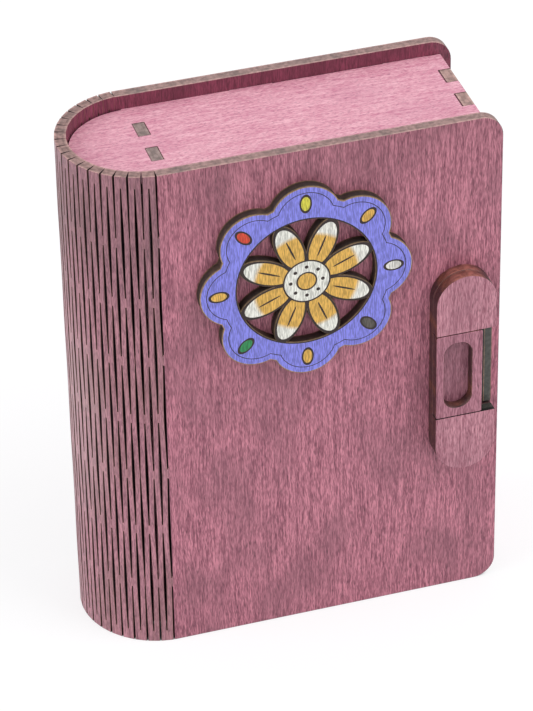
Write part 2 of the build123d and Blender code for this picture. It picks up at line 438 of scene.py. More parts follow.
# paler than the covers: partly a paler stain, partly painted light on the top plate that faces up to the
# lamps; the bottom plate and the walls share it
PLATE_STAIN_AND_PAINTED_LIGHT = Stain(light="#FDC5D2", dark="#D5839E", pore="#A8627E", cloud="#CC829D", cloudiness=0.3)
LATCH_STAIN = Stain(light="#DE9DAC", dark="#965769", pore="#66404C", cloud="#93606F", cloudiness=0.35)
SLIDER_STAIN = Stain(light="#CB8A9B", dark="#84495B", pore="#583643", cloud="#835262", cloudiness=0.35)
SOFT_ENDS = Cut(core="#997A76", rim="#BE9792", glue="#7C6560", scorch="#6F605D")
WALL_ENDS = Cut(core="#907D79", rim="#A58D89", glue="#776560", scorch="#847069")
FORE_ENDS = Cut(core="#AA8882", rim="#C4A298", glue="#8A6D67", scorch="#94786C")
CHAR = Cut(core="#2A1B20", rim="#43292F", glue="#1B1115", scorch="#3A2622")
# charred walls of the spine's cuts, darkened nearly black: char and painted shade in the narrow cuts
SLOT_CHAR_AND_SHADE = Cut(core="#251421", rim="#80543A", glue="#1B0F17", scorch="#2E1C24", rim_from=1.15)
# grey charred edges of the fore-edge wall and its lug, with painted shade of the gap beside the grip
LUG_CHAR_AND_GAP_SHADE = Cut(core="#4A4A46", rim="#B08A70", glue="#454440", scorch="#53504B", rim_from=1.2, gap=0.7)
LATCH_CHAR = Cut(core="#47282A", rim="#5A3634", glue="#28171A", scorch="#7A4A35")
# lighter orange-brown on the latch's upward edges near its top: painted light from above
LATCH_TOPS_PAINTED_LIGHT = Cut(core="#A5685C", rim="#AE7565", glue="#70443C", scorch="#6C3E36")
# lower cap's upward edge: the lug's grey carried on, with painted shadow of the gap under the lug in front
CAP_END_GAP_SHADE = Cut(core="#403F3B", rim="#403F3B", glue="#3D3C38", scorch="#46433E", gap=0.45)
# slider's upward edges: brown with orange scorch, and dark maroon beside the faces that is painted shade of
# the gaps between grip and caps
SLIDER_ENDS_AND_GAP_SHADE = Cut(core="#6B4038", rim="#40232B", glue="#4A2A28", scorch="#8E6242")
# rosette's charred sides, darkened nearly black: char and painted shade in its pierced holes
EMBLEM_CHAR_AND_SHADE = Cut(core="#2B1F1A", rim="#7E664B", glue="#1C1412", scorch="#4A382B")


@dataclass(frozen=True)
class StainedBirch:
    """Stained birch plywood, laser-cut: satin rose faces with fine grain, and charred edges.

    Attributes:
        name: Name of the material.
        lay: How the sheet lies.
        stain: Colours of its faces.
        walls: Colours of its other edges.
        ends: Colours of its edges that face up.
        ends_slope: How far up an edge's normal points where those colours begin, and where they are full.
        ends_above: Height from which edges have them, in millimetres.
        grain: Grain of its faces.
        inner: Colours of the face on the side of the sheet named next, where that one differs.
        inner_side: Side of the inner face along the sheet's thickness, -1 or 1.
        smoked: Share of smoke brown at the upper end of the faces.
        smoke_between: Heights at which it is none and full, in millimetres.
    """

    name: str
    lay: Lay
    stain: Stain
    walls: Cut = CHAR
    ends: Cut = SOFT_ENDS
    ends_slope: Pair = (0.5, 0.7)
    ends_above: float = 0.0
    grain: Grain = Grain()
    inner: Stain | None = None
    inner_side: int = 1
    smoked: float = 0.0
    smoke_between: Pair = (122.0, 148.0)

    def material(self) -> Material:
        """Builds the material; what faces along the sheet's thickness is face, and all else is cut edge."""
        material = new_material(self.name)
        tree = material.node_tree
        place = self.lay.place(tree)
        face, fibres = self.stain.colour(tree, place, self.grain)
        point = add_node(tree, "TexCoord").outputs
        height = add_node(tree, "SeparateXYZ", {0: point["Object"]}).outputs[2]
        upward = add_node(tree, "SeparateXYZ", {0: point["Normal"]}).outputs[2]
        is_high = add_node(tree, "Math", {0: height, 1: self.ends_above * MM}, operation="GREATER_THAN")
        is_end = add_node(tree, "MapRange", {"Value": upward, "From Min": self.ends_slope[0],
                                             "From Max": self.ends_slope[1], "To Max": is_high})
        cut = paint_over(tree, self.walls.colour(tree, place), (is_end, self.ends.colour(tree, place)))
        # the inner face takes its own colours; on the covers and the spine a darker copy of the stain,
        # painted shade
        if self.inner:
            inner, _ = self.inner.colour(tree, place, self.grain)
            face = paint_over(tree, face, (self.lay.is_face(tree, self.inner_side), inner))
        if self.smoked:
            # smoke from the cutter has browned the wood towards the end of the sheet
            low, high = self.smoke_between
            smoke = add_node(tree, "MapRange", {"Value": height, "From Min": low * MM, "From Max": high * MM,
                                                "To Max": self.smoked})
            face = paint_over(tree, face, (smoke, "#4A2E2C"))
        colour = paint_over(tree, cut, (self.lay.is_face(tree), face))
        finish_wood(material, colour, fibres, roughness=0.5, relief=0.05)
        return material


def dress(node: str, material: Material, ease: float = 0.1 * MM) -> None:
    """Gives a carried-over node its material and eases its sharp edges.

    Args:
        node: Name of the node.
        material: Its material.
        ease: Width of the eased edges, in metres.
    """
    piece = frame["nodes"][node]
    piece.data.materials.clear()
    piece.data.materials.append(material)
    weld = piece.modifiers.new("Joined corners", "WELD")
    weld.merge_threshold = 0.001 * MM
    bevel = piece.modifiers.new("Eased edges", "BEVEL")
    bevel.width = ease
    bevel.limit_method = "ANGLE"
    bevel.angle_limit = math.radians(50)
    log.info("%s: %s", node, material.name)


def dress_in_birch(node: str, stain: Stain, along: Axis = Axis.Z, ease: float = 0.1 * MM, **looks) -> None:
    """Gives a flat node birch in one stain; the grain's axis, the edges and other looks go by name."""
    birch = StainedBirch(f"Stained birch, {node}", Lay.of_node(node, along), stain, **looks)
    dress(node, birch.material(), ease)


class Part(Enum):
    """Material slots of a lattice row."""

    FACE = 0
    WALL = 1
    END = 2
    INNER = 3


@dataclass
class Lattice:
    """Lattice hinge: one row of beams and bridges on each line that the spine bends along.

    Open cuts run along each bending line and reach both ends of the box, with bridges between them. Closed
    slits run midway between the lines. Where the sheet bends, the beams beside the cuts twist from one
    bridge to the next, and each cut opens into a long lens.

    Attributes:
        bridge: Length of the wood beyond the first and last slit, in metres, as the rest.
        tie: Length of a bridge between two cuts.
        spans: Bridges on an open line.
        narrow: Width of a cut where it ends at a bridge.
        wide: Width of a cut midway between two bridges.
        beside_cover: Share of that width that the cut beside a cover has.
        least: Least distance from the line beside a cover to the beam across the cut.
        mouth: Width of an open cut at the box's ends.
        cover_side: Cover's edge to the bending line beside it.
        lap: Length of a bridge that reaches past the line, into the cover.
        proud: How far that lap stands off the cover's faces.
        seam: Half the gap between the two halves of a bridge whose strips have no joint of their own. Their
            outer edges leave room for the sheet to lie flat.
        step: Longest stretch of beam between two of its sections.
        pale_middle: Middle of the paler patch, which is painted sheen, on the unrolled sheet, in millimetres.
        pale_half: Half its size.
        sheen: How much the rubbed fibres of the outside whiten it where it is seen along its face.
    """

    bridge: float = 3.4 * MM
    tie: float = 2.8 * MM
    spans: int = 4
    narrow: float = 0.28 * MM
    wide: float = 0.54 * MM
    beside_cover: float = 0.78
    least: float = 0.02 * MM
    mouth: float = 0.30 * MM
    cover_side: float = 0.225 * MM
    lap: float = 0.32 * MM
    proud: float = 0.02 * MM
    seam: float = 0.0125 * MM
    step: float = 2.6 * MM
    pale_middle: Triple = (37.0, 68.0, 0.0)
    pale_half: Triple = (13.0, 42.0, 9.0)
    sheen: float = 0.18
    materials: list[Material] = field(default_factory=list)

    def __post_init__(self) -> None:
        """Reads the spine's arc from the joints on its first and last bending line."""
        lines = {joint["name"]: Vector(joint["pos_m"]) for joint in frame["joints"] if "pos_m" in joint}
        self.strips = sum(name.startswith("spine_strip_") for name in frame["nodes"])
        self.bodies = ["box", *(f"strip_{n:02d}" for n in range(1, self.strips + 1)), "cover"]
        self.turn = math.pi / (self.strips + 1)
        first, last = lines["bend_01"], lines[f"bend_{self.strips:02d}"]
        rise = (first.y - last.y) / 2
        self.line_radius = rise / math.cos(self.turn / 2)
        self.radius = self.line_radius * math.cos(self.turn / 2)
        self.axis = Vector((first.x + rise * math.tan(self.turn / 2), (first.y + last.y) / 2))
        self.pitch = 2 * self.line_radius * math.sin(self.turn / 2)
        low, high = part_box("back_cover")
        self.height = high.z - low.z
        self.half_sheet = (high.y - low.y) / 2
        self.span = (self.height - self.bridge) / self.spans

    def out(self, angle: float) -> Vector:
        """Direction out of the spine at an angle round it."""
        return Vector((-math.sin(angle), math.cos(angle)))

    def round(self, angle: float) -> Vector:
        """Direction round the spine, towards the front cover."""
        return Vector((-math.cos(angle), -math.sin(angle)))

    def levels(self, bridge: float) -> list[float]:
        """Lists the heights of a row's sections.

        Args:
            bridge: Length of a bridge.

        Returns:
            Rising heights, with one at each end of each bridge.
        """
        ends = [0.0, self.bridge, self.height - self.bridge, self.height]
        for n in range(1, 2 * self.spans):
            middle = self.bridge / 2 + n * self.span / 2
            ends += [middle - bridge / 2, middle + bridge / 2]
        ends = sorted({round(min(max(z, 0.0), self.height), 8) for z in ends})
        heights = [0.0]
        for low, high in zip(ends, ends[1:]):
            parts = max(1, round((high - low) / self.step))
            heights += [low + (high - low) * i / parts for i in range(1, parts + 1)]
        return heights

    def lowest(self, is_open: bool) -> float:
        """Height of the middle of the lowest bridge, of an open line or of a closed slit."""
        return self.bridge / 2 + (self.span / 2 if is_open else 0.0)

    def cut_half(self, z: float, is_open: bool) -> float:
        """Half the width of a cut.

        Args:
            z: Height.
            is_open: Whether the cut lies on a bending line, where it reaches both ends of the box.

        Returns:
            Half width in metres.
        """
        first = self.lowest(is_open)
        into = ((z - first) % self.span - self.tie / 2) / (self.span - self.tie)
        into = min(max(into, 0.0), 1.0)
        if is_open and (z < first or z > self.height - first):
            near = first - self.tie / 2
            reach = min(abs(z - near), abs(self.height - z - near)) / near
            return (self.narrow + (self.mouth - self.narrow) * math.sin(math.pi / 2 * min(reach, 1.0))) / 2
        return (self.narrow + (self.wide - self.narrow) * math.sin(math.pi * into)) / 2

    def twist(self, z: float) -> float:
        """Works out how far a beam has turned at a height.

        Args:
            z: Height.

        Returns:
            0 where it lies as its strip does, up to 1 where it lies as its bending line does.
        """
        along = ((z - self.bridge / 2) % self.span) / self.span
        flat = self.bridge / 2 / self.span
        reach = 0.5 - abs(along - 0.5)
        return min(max((reach - flat) / (0.5 - 2 * flat), 0.0), 1.0)

    def is_bridge(self, z: float, is_open: bool) -> bool:
        """Tells whether a height lies in a bridge.

        Args:
            z: Height.
            is_open: Whether the bridge is one of an open line, or else of a closed slit.

        Returns:
            Whether it does.
        """
        first = self.lowest(is_open)
        off = (z - first + self.span / 2) % self.span - self.span / 2
        inside = -self.bridge < z - first < self.height - 2 * first + self.bridge
        at_end = not is_open and not self.bridge < z < self.height - self.bridge
        return at_end or (abs(off) < self.tie / 2 and inside)

    def columns(self, line: int, z: float) -> list[Column]:
        """Lists a row's places round the spine at a height.

        Args:
            line: Number of the bending line, 0 beside the back cover.
            z: Height.

        Returns:
            For each column its distance from the line, the side of the line that it is on, -1, 0 or 1, and
            its place across its beam, from -1 to 1.
        """
        half, slit = self.cut_half(z, True), self.cut_half(z, False)
        reach = self.pitch / 2
        sides = []
        for side, at_cover in ((-1, line == 0), (1, line == self.strips)):
            other_cover = line == (self.strips if side < 0 else 0)
            near = max(2 * self.beside_cover * half - self.cover_side, self.least) if other_cover else half
            if at_cover:
                sides.append([(side * self.lap, side, 0.0)])
            else:
                sides.append([(side * near, side, -side), (side * (reach - slit), side, side),
                              (side * reach, side, side)])
        return [*reversed(sides[0]), (0.0, 0, 0.0), *sides[1]]

    def section(self, line: int, z: float, at: float, side: int, span: Pair) -> tuple:
        """Places a column of a row.

        Args:
            line: Number of the bending line.
            z: Height.
            at: Distance from the line.
            side: Side of the line, -1, 0 or 1.
            span: Near and far edge of its beam, as distances from the line.

        Returns:
            Point in the middle of the sheet and the direction out of the sheet there.
        """
        on_line = (line + 0.5) * self.turn
        vertex = self.axis + self.out(on_line) * self.line_radius
        if side == 0:
            return vertex, self.out(on_line)
        on_strip = (line + (0 if side < 0 else 1)) * self.turn
        strip = self.axis + self.out(on_strip) * self.radius
        if span == (0.0, 0.0):
            return strip + self.round(on_strip) * (at - side * self.pitch / 2), self.out(on_strip)
        turned = self.twist(z)
        middle = sum(span) / 2
        flat = strip + self.round(on_strip) * (middle - side * self.pitch / 2)
        bent = vertex + self.round(on_line) * middle
        angle = on_strip + (on_line - on_strip) * turned
        return flat.lerp(bent, turned) + self.round(angle) * (at - middle), self.out(angle)

    def row(self, line: int, name: str, keep: tuple[int, ...] = (-1, 1)) -> Object:
        """Builds a row of beams and bridges.

        Args:
            line: Number of the bending line.
            name: Name of the piece.
            keep: Sides of the line that the piece has.

        Returns:
            The piece.
        """
        at_cover = line in (0, self.strips)
        heights = self.levels(self.tie + (2 * self.proud if at_cover else 0.0))
        points, places, columns = [], [], []
        for z in heights:
            columns = [c for c in self.columns(line, z) if c[1] == 0 or c[1] in keep]
            for at, side, _ in columns:
                same = [c[0] for c in columns if c[1] == side]
                is_lap = side != 0 and len(same) == 1
                is_middle = abs(abs(at) - self.pitch / 2) < 1e-9
                near, far = (0.0, 0.0) if is_lap or is_middle or side == 0 else sorted(same, key=abs)[:2]
                point, out = self.section(line, z, at, side, (near, far))
                thick = self.half_sheet + (self.proud if is_lap or (at_cover and side == 0) else 0.0)
                outer = out
                if side == 0 and len(keep) == 1:
                    point = point + self.round((line + 0.5) * self.turn) * keep[0] * self.seam
                    outer = self.out((line + (keep[0] + 1) / 2) * self.turn)
                for depth, way in ((thick, outer), (-thick, out)):
                    flat = point + way * depth
                    points.append(Vector((flat.x, flat.y, z)))
                    places.append(((line + 0.5) * self.pitch + at, z, depth))
        return self.solid(name, points, places, heights, columns)

    def solid(self, name: str, points: list[Vector], places: list[Triple],
              heights: list[float], columns: list[Column]) -> Object:
        """Closes a row's points into a solid with its cuts left open.

        Args:
            name: Name of the piece.
            points: Points, outer then inner, for each column at each height.
            places: Place of each point on the unrolled sheet, in metres.
            heights: Heights of the sections.
            columns: Columns at the last height.

        Returns:
            The piece.
        """
        wide = len(columns)
        cells = [self.filled(columns, c, (low + high) / 2) for low, high in zip(heights, heights[1:])
                 for c in range(wide - 1)]
        faces, slots, sides = [], [], []

        def corner(level: int, column: int, inner: int) -> int:
            """Number of a point."""
            return (level * wide + column) * 2 + inner

        def is_wood(level: int, column: int) -> bool:
            """Whether a cell of the row is wood."""
            inside = 0 <= level < len(heights) - 1 and 0 <= column < wide - 1
            return inside and cells[level * (wide - 1) + column]

        def add(corners: list[int], part: Part, left: float = 0.0, right: float = 0.0) -> None:
            """Adds a face.

            Args:
                corners: Numbers of its points.
                part: Its material slot.
                left: Place of its left side across the beam.
                right: Place of its right side.
            """
            faces.append(corners)
            slots.append(part.value)
            sides.extend((left, right, right, left))

        for level in range(len(heights) - 1):
            for column in range(wide - 1):
                if not is_wood(level, column):
                    continue
                is_beam = columns[column][1] == columns[column + 1][1] and wide > 3
                left, right = (-1.0, 1.0) if is_beam and self.beam(columns, column) else (0.0, 0.0)
                a, b = corner(level, column, 0), corner(level, column + 1, 0)
                c, d = corner(level + 1, column + 1, 0), corner(level + 1, column, 0)
                add([a, b, c, d], Part.FACE, left, right)
                add([d + 1, c + 1, b + 1, a + 1], Part.INNER, left, right)
                low_end = Part.END if level == 0 else Part.WALL
                high_end = Part.END if level == len(heights) - 2 else Part.WALL
                for beyond, corners, part in (
                        ((level, column - 1), [a, d, d + 1, a + 1], self.wall_part(columns[column])),
                        ((level, column + 1), [c, b, b + 1, c + 1], self.wall_part(columns[column + 1])),
                        ((level - 1, column), [a, a + 1, b + 1, b], low_end),
                        ((level + 1, column), [d, c, c + 1, d + 1], high_end)):
                    if not is_wood(*beyond):
                        add(corners, part)

        used = sorted({p for face in faces for p in face})
        renumbered = {old: new for new, old in enumerate(used)}
        mesh = bpy.data.meshes.new(name)
        mesh.from_pydata([points[p] for p in used], [], [[renumbered[p] for p in face] for face in faces])
        mesh.polygons.foreach_set("material_index", slots)
        sheet = mesh.attributes.new("sheet_mm", "FLOAT_VECTOR", "POINT")
        sheet.data.foreach_set("vector", [v / MM for p in used for v in places[p]])
        beam = mesh.attributes.new("beam_side", "FLOAT", "CORNER")
        beam.data.foreach_set("value", sides)
        for material in self.materials:
            mesh.materials.append(material)
        return add_object(name, mesh)

    def wall_part(self, column: Column) -> Part:
        """Tells a bridge's end on a bending line, which is stained, from the charred wall of a cut."""
        return Part.FACE if column[1] == 0 else Part.WALL

    def beam(self, columns: list[Column], column: int) -> bool:
        """Whether a cell is a beam, between a cut on the line and a slit beside it."""
        return columns[column][2] == -1 and columns[column + 1][2] == 1

    def filled(self, columns: list[Column], column: int, z: float) -> bool:
        """Whether a cell of a row is wood at a height: a beam always is, the rest at its bridges."""
        on_line = 0 in (columns[column][1], columns[column + 1][1])
        return self.beam(columns, column) or self.is_bridge(z, on_line)

    def build(self) -> None:
        """Builds every row; where its two strips have no joint between them, each half of the row goes with
        its strip.
        """
        # the walls of the cuts are charred and darkened nearly black, partly painted shade in the narrow
        # cuts; the beams' ends grey-brown
        self.materials = [self.face_material("Stained birch, spine face", SPINE_STAIN, outside=True),
                          self.cut_material("Charred birch, spine cuts", SLOT_CHAR_AND_SHADE),
                          self.cut_material("Laser-cut birch, spine ends", SOFT_ENDS),
                          # the inside face takes the darker copy of the stain, painted shade
                          self.face_material("Stained birch, spine inside", INNER_STAIN_PAINTED_SHADE, outside=False)]
        hinged = {frozenset((joint["parent"], joint["child"])) for joint in frame["joints"]}
        for line in range(self.strips + 1):
            before, after = self.bodies[line], self.bodies[line + 1]
            stands_for = [f"spine_strip_{n:02d}" for n in (line, line + 1) if 1 <= n <= self.strips]
            if frozenset((before, after)) in hinged:
                row = self.row(line, f"lattice_row_{line:02d}")
                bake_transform(row)
                self.declare(row, stands_for)
                continue
            for side, body in ((-1, before), (1, after)):
                half = self.row(line, f"lattice_row_{line:02d}_{'back' if side < 0 else 'front'}", (side,))
                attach(half, body)
                self.declare(half, stands_for)

    def declare(self, piece: Object, stands_for: list[str]) -> None:
        """Names what a piece stands for.

        Args:
            piece: The piece.
            stands_for: Names of the strips that it replaces.
        """
        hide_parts(*stands_for)
        log.info("%s: %d faces, for %s", piece.name, len(piece.data.polygons), ", ".join(stands_for))

    def face_material(self, name: str, stain: Stain, outside: bool) -> Material:
        """Builds a stained face, browned along the cuts, with its grain on the unrolled sheet.

        Args:
            name: Name of the material.
            stain: Its colours.
            outside: Whether it is the outer face, which takes the painted sheen and the greyer top.

        Returns:
            The material.
        """
        material = new_material(name)
        tree = material.node_tree
        place = add_node(tree, "Attribute", attribute_name="sheet_mm").outputs["Vector"]
        colour, fibres = stain.colour(tree, place, Grain())
        beam = add_node(tree, "Attribute", attribute_name="beam_side").outputs["Fac"]
        off = add_node(tree, "Math", {0: beam}, operation="ABSOLUTE")
        browned = add_node(tree, "MapRange", {"Value": off, "From Min": 0.72, "From Max": 1.0, "To Max": 0.6})
        colour = paint_over(tree, colour, (browned, "#8A6254"))
        if outside:
            colour = self.paint_sheen_and_grey_top(tree, colour, place)
        sheen = self.sheen if outside else 0.0
        finish_wood(material, colour, fibres, roughness=0.5, relief=0.05, sheen=sheen)
        return material

    def paint_sheen_and_grey_top(self, tree: NodeTree, colour: Node, place: NodeSocket) -> Node:
        """Adds a painted sheen, a paler patch round the middle of the spine, and makes the spine darker and
        greyer towards its top.

        Args:
            tree: Node tree of the material.
            colour: Node with the stain's colour.
            place: Place on the unrolled sheet in millimetres.

        Returns:
            Node with the colour.
        """
        # painted sheen: a paler patch round the strips that are seen along their faces
        offset = add_node(tree, "VectorMath", {0: place, 1: self.pale_middle}, operation="SUBTRACT")
        scaled = add_node(tree, "VectorMath", {0: offset, 1: self.pale_half}, operation="DIVIDE")
        far = add_node(tree, "VectorMath", {0: scaled}, operation="LENGTH").outputs["Value"]
        pale = add_node(tree, "MapRange", {"Value": far, "From Min": 0.3, "From Max": 1.0, "To Min": 0.2,
                                           "To Max": 0.0})
        # darker and greyer towards the top of the spine
        height = add_node(tree, "SeparateXYZ", {0: place}).outputs[1]
        greyer = add_node(tree, "MapRange", {"Value": height, "From Min": 96.0, "From Max": 126.0,
                                             "To Max": 0.37})
        return paint_over(tree, colour, (pale, "#E2CFCE"), (greyer, "#5C4347"))

    def cut_material(self, name: str, cut: Cut) -> Material:
        """Builds a material for cut edges.

        Args:
            name: Name of the material.
            cut: Its colours.

        Returns:
            The material.
        """
        material = new_material(name)
        tree = material.node_tree
        place = add_node(tree, "Attribute", attribute_name="sheet_mm").outputs["Vector"]
        colour = cut.colour(tree, place)
        rough = add_node(tree, "TexNoise", {"Vector": place, "Scale": 3.0, "Detail": 2.0})
        finish_wood(material, colour, rough, roughness=0.75, relief=0.04)
        return material


@dataclass
class Covers:
    """Front and back cover.

    Attributes:
        ease: Width of their eased edges, in metres.
        smoked: Share of smoke brown at their upper end.
    """

    ease: float = 0.15 * MM
    smoked: float = 0.2

    def build(self) -> None:
        """Dresses both covers."""
        for node, inner_side in (("front_cover", 1), ("back_cover", -1)):
            # the inner faces take the darker copy of the stain, painted shade
            dress_in_birch(node, COVER_STAIN, ease=self.ease, inner=INNER_STAIN_PAINTED_SHADE, inner_side=inner_side,
                           smoked=self.smoked)


@dataclass
class InnerFrame:
    """End plates and walls between the covers.

    Attributes:
        plate_grain: Grain of the plates, which is finer than that of the other sheets.
    """

    plate_grain: Grain = Grain(fibre=(0.19, 1.2), streak=(0.7, 8.0), pore=(0.26, 0.9), waver_reach=1.4)

    def build(self) -> None:
        """Dresses the plates, whose grain runs to the fore edge, and the walls, whose grain runs upright."""
        # the plates' paler pink is partly painted light
        for node in ("top_plate", "bottom_plate"):
            # their eased rims are dark like their walls: charred, and painted shade of the gaps round the
            # plates
            dress_in_birch(node, PLATE_STAIN_AND_PAINTED_LIGHT, Axis.X, walls=LATCH_CHAR, ends=LATCH_CHAR,
                           grain=self.plate_grain)
        dress_in_birch("spine_wall", PLATE_STAIN_AND_PAINTED_LIGHT, ends=WALL_ENDS)
        # the fore-edge wall's cut edges carry painted shade of the gap at the lug's end
        dress_in_birch("fore_edge_wall", PLATE_STAIN_AND_PAINTED_LIGHT, walls=LUG_CHAR_AND_GAP_SHADE, ends=FORE_ENDS)


@dataclass
class Latch:
    """Sliding latch: base, two caps and the three layers of the slider.

    Attributes:
        arch_from: Height from which the fixed layers' upward edges are a lighter orange-brown, painted light
            from above, in millimetres.
        slope: How far up an edge's normal points where the upward edges' colours begin, and where they are
            full.
        ease: Width of the eased edges, in metres.
    """

    fixed: tuple[str, ...] = ("latch_base", "latch_cap_upper", "latch_cap_lower")
    slider: tuple[str, ...] = ("slider_grip", "slider_flange", "slider_bolt")
    arch_from: float = 94.0
    slope: Pair = (0.72, 0.98)
    ease: float = 0.25 * MM

    def build(self) -> None:
        """Dresses the latch's layers."""
        for node in self.fixed + self.slider:
            # the slider's upward edges carry painted shade of the gaps beside the caps
            stain, ends = (LATCH_STAIN, LATCH_TOPS_PAINTED_LIGHT) if node in self.fixed else (SLIDER_STAIN, SLIDER_ENDS_AND_GAP_SHADE)
            # the lower cap's upward edge carries the lug's grey and painted shadow of the gap under the lug
            ends = CAP_END_GAP_SHADE if node == "latch_cap_lower" else ends
            # only the fixed layers' upward edges above the arch height take the painted light
            above = self.arch_from if ends is LATCH_TOPS_PAINTED_LIGHT else 0.0
            dress_in_birch(node, stain, ease=self.ease, walls=LATCH_CHAR, ends=ends, ends_slope=self.slope,
                           ends_above=above)


@dataclass(frozen=True)
class Oval:
    """Oval whose axis passes through the rosette's middle, in millimetres.

    Attributes:
        middle: Distance of its middle from the rosette's.
        half: Half its length and half its width.
    """

    middle: float
    half: Pair

    def reach(self, tree: NodeTree, radius: object, angle: object) -> NodeSocket:
        """Adds how far a place is from the oval's middle.

        Args:
            tree: Node tree of the material.
            radius: Distance from the rosette's middle.
            angle: Angle off the oval's axis.

        Returns:
            Socket that is 0 in its middle and 1 on its outline.
        """
        sides = [add_node(tree, "Math", {0: angle}, operation=name) for name in ("COSINE", "SINE")]
        u, v = (add_node(tree, "Math", {0: radius, 1: side}, operation="MULTIPLY") for side in sides)
        point = add_node(tree, "CombineXYZ", {0: u, 1: v})
        moved = add_node(tree, "VectorMath", {0: point, 1: (self.middle, 0.0, 0.0)}, operation="SUBTRACT")
        scale = (1 / self.half[0], 1 / self.half[1], 1.0)
        scaled = add_node(tree, "VectorMath", {0: moved, 1: scale}, operation="MULTIPLY")
        return add_node(tree, "VectorMath", {0: scaled}, operation="LENGTH").outputs["Value"]


@dataclass(frozen=True)
class PaintedRosette:
    """Painted birch with burnt lines: matt paint that lets the grain through, with dark engraved outlines.

    Sizes are in millimetres, from the rosette's middle. The shape is that of the carried-over node: a ring
    with lobes round it, petals between the lobes' axes that overlap the ring, and a round heart.

    Attributes:
        groove: Burnt line's distance from the outer edge.
        tip: Distances at which a petal turns from ochre to white.
        eye_radius: Radius of the ochre in the heart.
        dot: A dot round the eye.
        seeds: Lobes whose seed isn't ochre, counted from the fore edge, with its colour.
    """

    lobes: int = 8
    lobe: Oval = Oval(19.0, (9.5, 9.5))
    ring_radius: float = 24.5
    pierced_radius: float = 18.6
    groove: float = 1.95
    petal: Oval = Oval(11.4, (7.8, 3.7))
    tip: Pair = (13.6, 14.8)
    vein: Oval = Oval(10.8, (3.2, 0.26))
    seed: Oval = Oval(23.4, (2.3, 1.35))
    heart_radius: float = 6.2
    eye_radius: float = 2.6
    dot: Oval = Oval(4.3, (0.5, 0.5))
    line: float = 0.22
    violet: str = "#8A8BEC"
    ochre: str = "#E6B659"
    white: str = "#F0F0E7"
    burnt: str = "#2C1D1C"
    rim: str = "#B0926E"
    seeds: tuple[tuple[int, str], ...] = ((2, "#D9D34A"), (0, "#E9E6E0"), (-3, "#2F8F55"), (3, "#DB4B33"),
                                          (-1, "#5A554F"))

    def zone(self, tree: NodeTree, value: object, high: float, low: float = -1.0) -> Node:
        """Adds a mask that is 1 where a value lies between two limits."""
        middle, reach = (low + high) / 2, (high - low) / 2
        return add_node(tree, "Math", {0: value, 1: middle, 2: reach}, operation="COMPARE")

    def polar(self, tree: NodeTree, place: Node) -> tuple:
        """Adds the rosette's own coordinates.

        Args:
            tree: Node tree of the material.
            place: Place on the sheet in millimetres.

        Returns:
            Radius, angle from the fore edge, and angles off the nearest lobe's and the nearest petal's axis.
        """
        low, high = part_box("emblem")
        middle = ((low.x + high.x) / 2 / MM, (low.z + high.z) / 2 / MM, 0.0)
        centred = add_node(tree, "VectorMath", {0: place, 1: middle}, operation="SUBTRACT")
        u, v, _ = add_node(tree, "SeparateXYZ", {0: centred}).outputs
        flat = add_node(tree, "CombineXYZ", {0: u, 1: v})
        radius = add_node(tree, "VectorMath", {0: flat}, operation="LENGTH").outputs["Value"]
        angle = add_node(tree, "Math", {0: v, 1: u}, operation="ARCTAN2")
        half_turn = math.pi / self.lobes
        off_lobe = add_node(tree, "Math", {0: angle, 1: half_turn}, operation="PINGPONG")
        off_petal = add_node(tree, "Math", {0: half_turn, 1: off_lobe}, operation="SUBTRACT")
        return radius, angle, off_lobe, off_petal

    def layers(self, tree: NodeTree, place: Node) -> list[tuple]:
        """Lists the paint from the bottom up.

        Args:
            tree: Node tree of the material.
            place: Place on the sheet in millimetres.

        Returns:
            Masks with their colours; a colour may be a node.
        """
        radius, angle, off_lobe, off_petal = self.polar(tree, place)
        lobe, seed, dot = (oval.reach(tree, radius, off_lobe) for oval in (self.lobe, self.seed, self.dot))
        petal, vein = (oval.reach(tree, radius, off_petal) for oval in (self.petal, self.vein))
        lobe_radius = self.lobe.half[0]
        to_lobe = add_node(tree, "Math", {0: lobe, 1: lobe_radius, 2: -lobe_radius}, operation="MULTIPLY_ADD")
        to_ring = add_node(tree, "Math", {0: radius, 1: self.ring_radius}, operation="SUBTRACT")
        edge = add_node(tree, "Math", {0: to_lobe, 1: to_ring}, operation="MINIMUM")
        pale = add_node(tree, "MapRange", {"Value": radius, "From Min": self.tip[0], "From Max": self.tip[1]})
        inside = self.zone(tree, radius, self.pierced_radius + 0.1)
        outline = self.zone(tree, petal, 3.0, 0.84)
        drawn = add_node(tree, "Math", {0: outline, 1: inside}, operation="MULTIPLY")
        return [
            (self.zone(tree, edge, self.line - self.groove, -self.groove), self.burnt),
            (self.zone(tree, seed, 1.22), self.burnt),
            (self.zone(tree, seed, 0.9), self.ochre),
            *self.accents(tree, angle, seed),
            (self.zone(tree, radius, self.pierced_radius + 0.45, self.pierced_radius - 0.3), self.burnt),
            (inside, paint_over(tree, self.ochre, (pale, self.white))),
            (drawn, self.burnt),
            (self.zone(tree, vein, 1.0), self.burnt),
            (self.zone(tree, radius, self.heart_radius + self.line), self.burnt),
            (self.zone(tree, radius, self.heart_radius - self.line), self.white),
            (self.zone(tree, dot, 1.0), self.burnt),
            (self.zone(tree, radius, self.eye_radius + self.line), self.burnt),
            (self.zone(tree, radius, self.eye_radius - self.line), self.ochre),
            (self.zone(tree, edge, 1.0, -0.3), self.rim),
        ]

